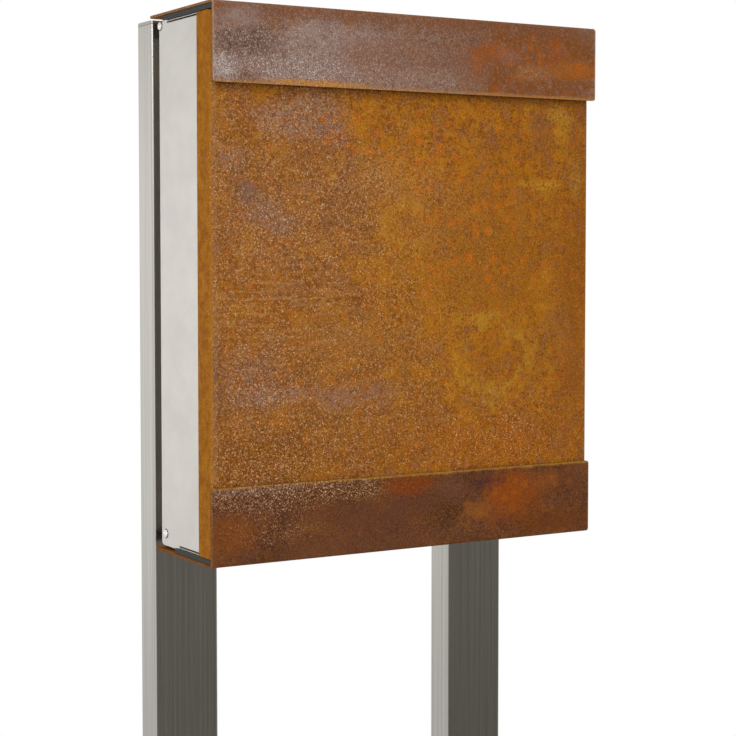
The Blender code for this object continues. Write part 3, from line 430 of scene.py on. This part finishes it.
def weatheringSteel(look):
    material, tree = newMaterial(look["name"])
    place = addNode(tree, "ShaderNodeTexCoord")
    here = addNode(tree, "ShaderNodeMapping", {"Location": (look["seed"], look["seed"] / 3, 0.0)},
                   {"Vector": place.outputs["Object"]}).outputs[0]
    elsewhere = addNode(tree, "ShaderNodeMapping", {"Location": film["elsewhere"]}, {"Vector": here})
    start = {"here": here, "elsewhere": elsewhere.outputs[0]}
    noise = {}
    for name, (size, detail, roughness, where) in patterns.items():
        noise[name] = addNode(tree, "ShaderNodeTexNoise",
                              {"Scale": scaleFor(size), "Detail": detail, "Roughness": roughness},
                              {"Vector": start[where]}).outputs
    mottle, crumbs, tints = (noise[name][0] for name in ("mottle", "crumbs", "tints"))

    # Ground colour
    blend = addNode(tree, "ShaderNodeMix", {0: film["mottled"]}, {2: noise["cloud"][0], 3: mottle})
    blend = addNode(tree, "ShaderNodeMix", {0: look["crumbs"]}, {2: blend.outputs[0], 3: crumbs})
    tones = [linear(look[tone]) for tone in ("dark", "middle", "light")]
    colour = addNode(tree, "ShaderNodeValToRGB", links={"Fac": blend.outputs[0]},
                     stops=list(zip(film["stops"], tones))).outputs[0]

    # The outlines of stains wander with the clouds and the mottling
    mean = (0.5, 0.5, 0.5)
    wander = addNode(tree, "ShaderNodeVectorMath", {1: mean}, {0: noise["cloud"][1]}, operation="SUBTRACT")
    ripple = addNode(tree, "ShaderNodeVectorMath", {1: mean}, {0: noise["mottle"][1]}, operation="SUBTRACT")
    wander = addNode(tree, "ShaderNodeVectorMath", {1: (film["wander"],) * 3},
                     {0: wander.outputs[0], 2: ripple.outputs[0]}, operation="MULTIPLY_ADD")

    def away(spot, size):
        # Distance from the middle of a spot, in half sizes, with a wandering outline
        shift = (-spot[0] / size[0], 0.0, -spot[1] / size[1])
        scale = (1 / size[0], 0.0, 1 / size[1])
        local = addNode(tree, "ShaderNodeMapping", {"Location": shift, "Scale": scale},
                        {"Vector": place.outputs["Object"]})
        local = addNode(tree, "ShaderNodeVectorMath", links={0: local.outputs[0], 1: wander.outputs[0]},
                        operation="ADD")
        return addNode(tree, "ShaderNodeVectorMath", links={0: local.outputs[0]},
                       operation="LENGTH").outputs["Value"]

    def patch(spot, size):
        # 1 at the middle of a spot, 0 outside it
        return addNode(tree, "ShaderNodeMapRange", ranges["patch"], {"Value": away(spot, size)},
                       interpolation_type="SMOOTHSTEP").outputs[0]

    def shaken(vector):
        # Coordinates that wander by a millimetre or two with the mottling
        return addNode(tree, "ShaderNodeVectorMath", {1: (film["shake"],) * 3},
                       {0: ripple.outputs[0], 2: vector}, operation="MULTIPLY_ADD").outputs[0]

    def paint(colour, tone, mask, share):
        # The colour with a tone over it, and how much of it the tone covers
        mask = addNode(tree, "ShaderNodeMath", {1: share}, {0: mask}, operation="MULTIPLY", use_clamp=True)
        painted = addNode(tree, "ShaderNodeMix", {7: linear(tone)}, {0: mask.outputs[0], 6: colour},
                          data_type="RGBA")
        return painted.outputs[2], mask.outputs[0]

    # Cool and warm tints
    for tint in ("cool", "warm"):
        tone, share = look[tint]
        mask = addNode(tree, "ShaderNodeMapRange", ranges[tint], {"Value": tints})
        colour = paint(colour, tone, mask.outputs[0], share)[0]

    # Stains, each with its own colour and amount of grain, broken up by the crumbs
    grain = addNode(tree, "ShaderNodeValue").outputs[0]
    grain.default_value = look["grain"] * film["openGrain"]
    flake = {"To Min": 1.0 - look["flake"], "To Max": 1.0 + film["flakeGain"] * look["flake"]}
    flaky = addNode(tree, "ShaderNodeMapRange", {**ranges["flaky"], **flake}, {"Value": crumbs})
    for spot, size, tone, share, grit in look["stains"]:
        mask = addNode(tree, "ShaderNodeMath", links={0: patch(spot, size), 1: flaky.outputs[0]},
                       operation="MULTIPLY")
        colour, cover = paint(colour, tone, mask.outputs[0], share)
        grain = addNode(tree, "ShaderNodeMix", {3: grit * look["grain"]}, {0: cover, 2: grain}).outputs[0]

    # Level streaks, from the rolling of the sheet
    length, width = film["streak"]
    drawn = addNode(tree, "ShaderNodeMapping", {"Scale": (scaleFor(length), 0.0, scaleFor(width))},
                    {"Vector": shaken(here)})
    drawn = addNode(tree, "ShaderNodeTexNoise", {"Scale": 1.0, "Detail": 2.0}, {"Vector": drawn.outputs[0]})
    drawn = addNode(tree, "ShaderNodeMapRange", ranges["drawn"], {"Value": drawn.outputs[0]})
    for spot, size, tone, share in look["streaks"]:
        mask = addNode(tree, "ShaderNodeMath", links={0: drawn.outputs[0], 1: patch(spot, size)},
                       operation="MULTIPLY")
        colour = paint(colour, tone, mask.outputs[0], share)[0]

    # Rims of dried drops, broken by the mottling
    broken = addNode(tree, "ShaderNodeMapRange", ranges["broken"], {"Value": mottle})
    for spot, radius, width, tone, share in look["rings"]:
        rim = addNode(tree, "ShaderNodeMath", {1: 1.0}, {0: away(spot, (radius, radius))},
                      operation="SUBTRACT")
        rim = addNode(tree, "ShaderNodeMath", links={0: rim.outputs[0]}, operation="ABSOLUTE")
        rim = addNode(tree, "ShaderNodeMapRange", {"From Max": width * 2, "To Min": 1.0, "To Max": 0.0},
                      {"Value": rim.outputs[0]}, interpolation_type="SMOOTHSTEP")
        rim = addNode(tree, "ShaderNodeMath", links={0: rim.outputs[0], 1: broken.outputs[0]},
                      operation="MULTIPLY")
        colour = paint(colour, tone, rim.outputs[0], share)[0]

    # Fresh orange spots, in more than half of the cells
    cells = addNode(tree, "ShaderNodeTexVoronoi", {"Scale": scaleFor(film["cell"])}, {"Vector": shaken(here)})
    chosen = addNode(tree, "ShaderNodeSeparateColor", links={0: cells.outputs["Color"]})
    chosen = addNode(tree, "ShaderNodeMapRange", ranges["chosen"], {"Value": chosen.outputs[0]})
    fresh = addNode(tree, "ShaderNodeMapRange", ranges["fresh"], {"Value": cells.outputs["Distance"]},
                    interpolation_type="SMOOTHSTEP")
    fresh = addNode(tree, "ShaderNodeMath", links={0: fresh.outputs[0], 1: chosen.outputs[0]},
                    operation="MULTIPLY")
    for spot, size, share in look["spots"]["fields"]:
        mask = addNode(tree, "ShaderNodeMath", links={0: fresh.outputs[0], 1: patch(spot, size)},
                       operation="MULTIPLY")
        colour = paint(colour, look["spots"]["colour"], mask.outputs[0], share)[0]

    # Worn and sheltered edges, and lines of painted shade under the hood's lip, whose line wanders a little
    # with the mottling
    xyz = addNode(tree, "ShaderNodeSeparateXYZ", links={0: place.outputs["Object"]})
    sideways = addNode(tree, "ShaderNodeMath", links={0: xyz.outputs["X"]}, operation="ABSOLUTE")
    leftwards = addNode(tree, "ShaderNodeMath", {1: -1.0}, {0: xyz.outputs["X"]}, operation="MULTIPLY")
    coordinate = {"X": sideways.outputs[0], "L": leftwards.outputs[0], "Z": xyz.outputs["Z"]}
    sway = addNode(tree, "ShaderNodeMath", {1: 0.5}, {0: mottle}, operation="SUBTRACT")
    for axis, inner, outer, tone, share in look["edges"]:
        swayed = addNode(tree, "ShaderNodeMath", {1: film["sway"][axis]},
                         {0: sway.outputs[0], 2: coordinate[axis]}, operation="MULTIPLY_ADD")
        edge = addNode(tree, "ShaderNodeMapRange", {"From Min": inner, "From Max": outer},
                       {"Value": swayed.outputs[0]})
        colour = paint(colour, tone, edge.outputs[0], share)[0]

    # Faces that look sideways, up or down have an even bloom in two tones
    facing = addNode(tree, "ShaderNodeSeparateXYZ", links={0: place.outputs["Normal"]})
    turned = addNode(tree, "ShaderNodeMath", links={0: facing.outputs["Y"]}, operation="ABSOLUTE")
    turned = addNode(tree, "ShaderNodeMapRange", ranges["turned"], {"Value": turned.outputs[0]})
    bloom = addNode(tree, "ShaderNodeMix", {0: film["bloomMottled"]}, {2: tints, 3: mottle})
    bloom = addNode(tree, "ShaderNodeMapRange", ranges["bloom"], {"Value": bloom.outputs[0]})
    bloom = addNode(tree, "ShaderNodeMix", {6: linear(look["flat"][1]), 7: linear(look["flat"][0])},
                    {0: bloom.outputs[0]}, data_type="RGBA")
    mask = addNode(tree, "ShaderNodeMath", {1: film["bloom"]}, {0: turned.outputs[0]}, operation="MULTIPLY")
    colour = addNode(tree, "ShaderNodeMix", links={0: mask.outputs[0], 6: colour, 7: bloom.outputs[2]},
                     data_type="RGBA").outputs[2]
    grain = addNode(tree, "ShaderNodeMix", {3: film["bloomGrain"]},
                    {0: turned.outputs[0], 2: grain}).outputs[0]

    # Dark pits, pale specks and a few painted glints, bright specks of painted highlight
    pits = addNode(tree, "ShaderNodeMapRange", ranges["pits"], {"Value": noise["darkGrain"][0]})
    pits = addNode(tree, "ShaderNodeMath", links={0: pits.outputs[0], 1: grain}, operation="MULTIPLY")
    colour = paint(colour, look["pit"], pits.outputs[0], film["pits"])[0]
    specks = addNode(tree, "ShaderNodeMapRange", ranges["specks"], {"Value": noise["paleGrain"][0]})
    specks = addNode(tree, "ShaderNodeMath", links={0: specks.outputs[0], 1: grain}, operation="MULTIPLY")
    specks = addNode(tree, "ShaderNodeMath", {1: film["specks"]}, {0: specks.outputs[0]},
                     operation="MULTIPLY", use_clamp=True)
    scaly = addNode(tree, "ShaderNodeMapRange", ranges["scaly"], {"Value": grain})
    golden = addNode(tree, "ShaderNodeMapRange", ranges["golden"], {"Value": crumbs})
    scaly = addNode(tree, "ShaderNodeMath", links={0: scaly.outputs[0], 1: golden.outputs[0]},
                    operation="MULTIPLY")
    speck = addNode(tree, "ShaderNodeMix", {6: linear(look["crumb"]), 7: linear(look["pale"])},
                    {0: scaly.outputs[0]}, data_type="RGBA")
    colour = addNode(tree, "ShaderNodeMix", links={0: specks.outputs[0], 6: colour, 7: speck.outputs[2]},
                     data_type="RGBA").outputs[2]
    paintedGlint = addNode(tree, "ShaderNodeMapRange", ranges["paintedGlint"], {"Value": noise["paleGrain"][0]})
    paintedGlint = addNode(tree, "ShaderNodeMath", links={0: paintedGlint.outputs[0], 1: flaky.outputs[0]},
                    operation="MULTIPLY")
    for spot, size, share in look["paintedGlints"]:
        mask = addNode(tree, "ShaderNodeMath", links={0: paintedGlint.outputs[0], 1: patch(spot, size)},
                       operation="MULTIPLY")
        colour = paint(colour, film["paintedGlint"], mask.outputs[0], share)[0]

    # Gloss and relief: specks of scale are smoother than the bloom
    rough = addNode(tree, "ShaderNodeMapRange", ranges["rough"], {"Value": specks.outputs[0]})
    bump = addNode(tree, "ShaderNodeBump", film["fineRelief"], {"Height": noise["darkGrain"][0]})
    bump = addNode(tree, "ShaderNodeBump", film["broadRelief"], {"Height": mottle, "Normal": bump.outputs[0]})
    shader = addNode(tree, "ShaderNodeBsdfPrincipled",
                     {"Metallic": 0.0, "Specular IOR Level": film["specular"]},
                     {"Base Color": colour, "Roughness": rough.outputs[0], "Normal": bump.outputs[0]})
    addNode(tree, "ShaderNodeOutputMaterial", links={"Surface": shader.outputs[0]})
    wear(material, look["cover"])


for look in rust.values():
    weatheringSteel(look)
print("rust set")


# Stainless steel: long-grain brushed posts and finely ground sheet, with soft streaks along the grain.
# The grain is the size of its streaks in millimetres along x, y and z.

steel = {
    "posts": {"name": "long-grain brushed stainless", "colour": "#C6C3BC", "streak": "#B3B0A8",
              "roughness": 0.24, "grain": (2.2, 2.2, 300.0), "relief": 0.02, "anisotropy": 0.3,
              "on": ["post_left", "post_right", "base_plate_left", "base_plate_right"]},
    "housing": {"name": "fine ground stainless sheet", "colour": "#E0DCD5", "streak": "#D6D2CB",
                "roughness": 0.42, "grain": (0.6, 60.0, 40.0), "relief": 0.08, "anisotropy": 0.3,
                "shadeRims": True, "on": ["housing", "hood_carrier", "tray_carrier"]},
    "ground": {"name": "ground stainless", "colour": "#B9B6B0", "streak": "#A8A59F",
               "roughness": 0.32, "grain": (6.0, 6.0, 0.5), "relief": 0.08, "anisotropy": 0.0,
               "on": ["post_cap_left", "post_cap_right",
                      "spacer_sleeve_left_lower", "spacer_sleeve_left_upper",
                      "spacer_sleeve_right_lower", "spacer_sleeve_right_upper"]},
    "pins": {"name": "polished stainless rivet", "colour": "#FCFAF4", "streak": "#F4F1EA",
             "roughness": 0.30, "grain": (6.0, 6.0, 2.0), "relief": 0.02, "anisotropy": 0.0,
             "shadeRims": True, "on": ["hood_pin_left", "hood_pin_right", "tray_pin_left", "tray_pin_right"]},
}
unevenGloss = 0.03  # how far the roughness varies between streaks
rivetShadeRings = {  # a fine ring of painted shade round each rivet head, at these (y, z)
    "places": [(-0.0120, 1.1905), (-0.0181, 0.7649)], "radius": 0.0038, "colour": "#4E4B46",
    "fade": {"From Min": 0.0002, "From Max": 0.0005, "To Min": 1.0, "To Max": 0.0},
}


def stainless(look):
    material, tree = newMaterial(look["name"])
    place = addNode(tree, "ShaderNodeTexCoord")
    stretched = addNode(tree, "ShaderNodeMapping", {"Scale": tuple(scaleFor(size) for size in look["grain"])},
                        {"Vector": place.outputs["Object"]})
    lines = addNode(tree, "ShaderNodeTexNoise", {"Scale": 1.0, "Detail": 3.0, "Roughness": 0.7},
                    {"Vector": stretched.outputs["Vector"]})
    colour = addNode(tree, "ShaderNodeValToRGB", links={"Fac": lines.outputs[0]}, stops=[
        (0.35, linear(look["streak"])), (0.65, linear(look["colour"]))]).outputs[0]
    # painted shade: a fine dark ring round each rivet head
    if look.get("shadeRims"):
        beside = addNode(tree, "ShaderNodeVectorMath", {1: (0.0, 1.0, 1.0)}, {0: place.outputs["Object"]},
                         operation="MULTIPLY")
        for y, z in rivetShadeRings["places"]:
            away = addNode(tree, "ShaderNodeVectorMath", {1: (0.0, y, z)}, {0: beside.outputs[0]},
                           operation="DISTANCE")
            away = addNode(tree, "ShaderNodeMath", {1: rivetShadeRings["radius"]}, {0: away.outputs["Value"]},
                           operation="SUBTRACT")
            away = addNode(tree, "ShaderNodeMath", links={0: away.outputs[0]}, operation="ABSOLUTE")
            mask = addNode(tree, "ShaderNodeMapRange", rivetShadeRings["fade"], {"Value": away.outputs[0]})
            colour = addNode(tree, "ShaderNodeMix", {7: linear(rivetShadeRings["colour"])},
                             {0: mask.outputs[0], 6: colour}, data_type="RGBA").outputs[2]
    rough = addNode(tree, "ShaderNodeMapRange",
                    {"To Min": look["roughness"] - unevenGloss, "To Max": look["roughness"] + unevenGloss},
                    {"Value": lines.outputs[0]})
    bump = addNode(tree, "ShaderNodeBump", {"Strength": look["relief"], "Distance": 0.0002},
                   {"Height": lines.outputs[0]})
    tangent = addNode(tree, "ShaderNodeTangent", direction_type="RADIAL", axis="Z")
    shader = addNode(tree, "ShaderNodeBsdfPrincipled", {"Metallic": 1.0, "Anisotropic": look["anisotropy"]}, {
        "Base Color": colour, "Roughness": rough.outputs[0], "Normal": bump.outputs[0],
        "Tangent": tangent.outputs[0]})
    addNode(tree, "ShaderNodeOutputMaterial", links={"Surface": shader.outputs[0]})
    wear(material, *look["on"])
    return material


finish = {name: stainless(look) for name, look in steel.items()}
print("stainless set")


# Small parts: plated fasteners and lock, rubber strips and foam tape, with faint spots (millimetres)

small = {
    "zinc": {"name": "clear zinc plate", "colour": "#B4B6B8", "shade": "#9EA0A4", "spot": 3.0,
             "metallic": 1.0, "roughness": 0.34,
             "prefixes": ["bolt_", "washer_", "rivet_nut_",
                          "lock_nut", "lock_cam", "cam_screw", "lock_catch"]},
    "nickel": {"name": "satin nickel plate", "colour": "#C4C0B8", "shade": "#B4B0A8", "spot": 2.0,
               "metallic": 1.0, "roughness": 0.22, "prefixes": ["lock_body", "lock_plug"]},
    "rubber": {"name": "black rubber strip", "colour": "#33312C", "shade": "#26251F", "spot": 1.5,
               "metallic": 0.0, "roughness": 0.72,
               "prefixes": ["hood_strip", "tray_strip", "hood_pad", "tray_pad"]},
    "foam": {"name": "closed-cell foam tape", "colour": "#3A3A38", "shade": "#2A2A28", "spot": 0.8,
             "metallic": 0.0, "roughness": 0.9, "prefixes": ["panel_tape"]},
}

for key, look in small.items():
    material, tree = newMaterial(look["name"])
    finish[key] = material
    place = addNode(tree, "ShaderNodeTexCoord")
    spots = addNode(tree, "ShaderNodeTexNoise", {"Scale": scaleFor(look["spot"]), "Detail": 3.0},
                    {"Vector": place.outputs["Object"]})
    colour = addNode(tree, "ShaderNodeValToRGB", links={"Fac": spots.outputs[0]}, stops=[
        (0.35, linear(look["shade"])), (0.65, linear(look["colour"]))])
    bump = addNode(tree, "ShaderNodeBump", {"Strength": 0.15, "Distance": 0.0001},
                   {"Height": spots.outputs[0]})
    shader = addNode(tree, "ShaderNodeBsdfPrincipled",
                     {"Metallic": look["metallic"], "Roughness": look["roughness"]},
                     {"Base Color": colour.outputs[0], "Normal": bump.outputs[0]})
    addNode(tree, "ShaderNodeOutputMaterial", links={"Surface": shader.outputs[0]})
    wear(material, *[name for name in nodes if name.startswith(tuple(look["prefixes"]))])
print("small parts set")


# Details that repeat, each from a tree of Geometry Nodes

def newTree(name, sizes):
    # A tree with a named input for each size, and the node that gives their values
    tree = bpy.data.node_groups.new(name, "GeometryNodeTree")
    kinds = {float: "Float", int: "Int", tuple: "Vector", bpy.types.Material: "Material"}
    for label, value in sizes.items():
        tree.interface.new_socket(label, in_out="INPUT", socket_type="NodeSocket" + kinds[type(value)])
    tree.interface.new_socket("Geometry", in_out="OUTPUT", socket_type="NodeSocketGeometry")
    return tree, addNode(tree, "NodeGroupInput").outputs


def endTree(tree, geometry, size):
    # Every tree ends in real faces with their material
    real = addNode(tree, "GeometryNodeRealizeInstances", links={0: geometry})
    smooth = addNode(tree, "GeometryNodeSetShadeSmooth", links={0: real.outputs[0]})
    made = addNode(tree, "GeometryNodeSetMaterial",
                   links={"Geometry": smooth.outputs[0], "Material": size["Material"]})
    addNode(tree, "NodeGroupOutput", links={0: made.outputs[0]})


def grow(name, tree, sizes, body):
    # The tree's result as a plain mesh that rides on a body
    piece = bpy.data.objects.new(name, bpy.data.meshes.new(name))
    scene.collection.objects.link(piece)
    modifier = piece.modifiers.new(name, "NODES")
    modifier.node_group = tree
    for socket in tree.interface.items_tree:
        if socket.in_out == "INPUT":
            modifier[socket.identifier] = sizes[socket.name]
    evaluated = piece.evaluated_get(bpy.context.evaluated_depsgraph_get())
    grown = bpy.data.meshes.new_from_object(evaluated)
    piece.modifiers.remove(modifier)
    piece.data = grown
    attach(piece, body)


# Fillet weld round the foot of each post: a row of overlapping ripples
postLow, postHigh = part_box("post_left")
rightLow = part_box("post_right")[0]
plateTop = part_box("base_plate_left")[1][2]
beside = 0.0005  # from the post to the middle of the row
raised = 0.0004  # from the plate to the middle of the row
weld = {
    "Width": postHigh[0] - postLow[0] + 2 * beside, "Depth": postHigh[1] - postLow[1] + 2 * beside,
    "Corner": 0.0024, "Ripple": 0.0019, "Pitch": 0.0013, "Unevenness": 0.12, "Seed": 5,
    "Place": ((postLow[0] + postHigh[0]) / 2, (postLow[1] + postHigh[1]) / 2, plateTop + raised),
    "Spacing": (rightLow[0] - postLow[0], 0.0, 0.0), "Material": finish["posts"],
}
tree, size = newTree("weld ripples", weld)
outline = addNode(tree, "GeometryNodeCurvePrimitiveQuadrilateral", links={0: size["Width"], 1: size["Depth"]})
outline = addNode(tree, "GeometryNodeFilletCurve", {"Count": 4},
                  {"Curve": outline.outputs[0], "Radius": size["Corner"]}, mode="POLY")
outline = addNode(tree, "GeometryNodeResampleCurve",
                  links={"Curve": outline.outputs[0], "Length": size["Pitch"]}, mode="LENGTH")
along = addNode(tree, "GeometryNodeInputTangent")
along = addNode(tree, "FunctionNodeAlignRotationToVector", links={"Vector": along.outputs[0]}, axis="X")
ripple = addNode(tree, "GeometryNodeMeshUVSphere", {"Segments": 8, "Rings": 4}, {"Radius": size["Ripple"]})
ripple = addNode(tree, "GeometryNodeTransform", {"Scale": (0.6, 1.0, 0.9)}, {"Geometry": ripple.outputs[0]})
least = addNode(tree, "ShaderNodeMath", {0: 1.0}, {1: size["Unevenness"]}, operation="SUBTRACT")
most = addNode(tree, "ShaderNodeMath", {0: 1.0}, {1: size["Unevenness"]}, operation="ADD")
uneven = addNode(tree, "FunctionNodeRandomValue",
                 links={2: least.outputs[0], 3: most.outputs[0], "Seed": size["Seed"]})
ring = addNode(tree, "GeometryNodeInstanceOnPoints", links={
    "Points": outline.outputs[0], "Instance": ripple.outputs[0], "Rotation": along.outputs[0],
    "Scale": uneven.outputs[1]})
pair = addNode(tree, "GeometryNodeMeshLine", {"Count": 2},
               {"Start Location": size["Place"], "Offset": size["Spacing"]})
pair = addNode(tree, "GeometryNodeInstanceOnPoints",
               links={"Points": pair.outputs[0], "Instance": ring.outputs[0]})
endTree(tree, pair.outputs[0], size)
grow("post_foot_welds", tree, weld, "stand")

# Thread on the lock's barrel, from the nut to the top: a ridge of diamond section on a spiral
lockLow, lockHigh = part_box("lock_body")
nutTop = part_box("lock_nut")[1][2]
bare = 0.0007  # plain barrel left below and above the thread
thread = {
    "Radius": 0.0080, "Turns": 8.0, "Height": lockHigh[2] - nutTop - 2 * bare, "Ridge": 0.00034,
    "Place": ((lockLow[0] + lockHigh[0]) / 2, (lockLow[1] + lockHigh[1]) / 2, nutTop + bare),
    "Material": finish["nickel"],
}
tree, size = newTree("lock thread", thread)
spiral = addNode(tree, "GeometryNodeCurveSpiral", {"Resolution": 32}, {
    "Rotations": size["Turns"], "Start Radius": size["Radius"], "End Radius": size["Radius"],
    "Height": size["Height"]})
section = addNode(tree, "GeometryNodeCurvePrimitiveCircle", {"Resolution": 4}, {"Radius": size["Ridge"]})
ridge = addNode(tree, "GeometryNodeCurveToMesh", {"Fill Caps": True},
                {"Curve": spiral.outputs[0], "Profile Curve": section.outputs[0]})
ridge = addNode(tree, "GeometryNodeTransform",
                links={"Geometry": ridge.outputs[0], "Translation": size["Place"]})
endTree(tree, ridge.outputs[0], size)
grow("lock_thread", tree, thread, "tray")

# Spot welds that hold the catch: a fine raised ring round each
catchLow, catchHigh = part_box("lock_catch")
apart = 0.016
catchSheet = 0.0015
belowTop = 0.0060  # from the catch's top edge
spotWelds = {
    "Radius": 0.0024, "Rim": 0.00022, "Turn": (pi / 2, 0.0, 0.0), "Count": 2, "Spacing": (apart, 0.0, 0.0),
    "Place": ((catchLow[0] + catchHigh[0] - apart) / 2, catchLow[1] + catchSheet, catchHigh[2] - belowTop),
    "Material": finish["zinc"],
}
tree, size = newTree("spot welds", spotWelds)
circle = addNode(tree, "GeometryNodeCurvePrimitiveCircle", {"Resolution": 20}, {"Radius": size["Radius"]})
section = addNode(tree, "GeometryNodeCurvePrimitiveCircle", {"Resolution": 6}, {"Radius": size["Rim"]})
rim = addNode(tree, "GeometryNodeCurveToMesh",
              links={"Curve": circle.outputs[0], "Profile Curve": section.outputs[0]})
row = addNode(tree, "GeometryNodeMeshLine", links={
    "Count": size["Count"], "Start Location": size["Place"], "Offset": size["Spacing"]})
row = addNode(tree, "GeometryNodeInstanceOnPoints", links={
    "Points": row.outputs[0], "Instance": rim.outputs[0], "Rotation": size["Turn"]})
endTree(tree, row.outputs[0], size)
grow("catch_spot_welds", tree, spotWelds, "stand")
print("welds and thread set")
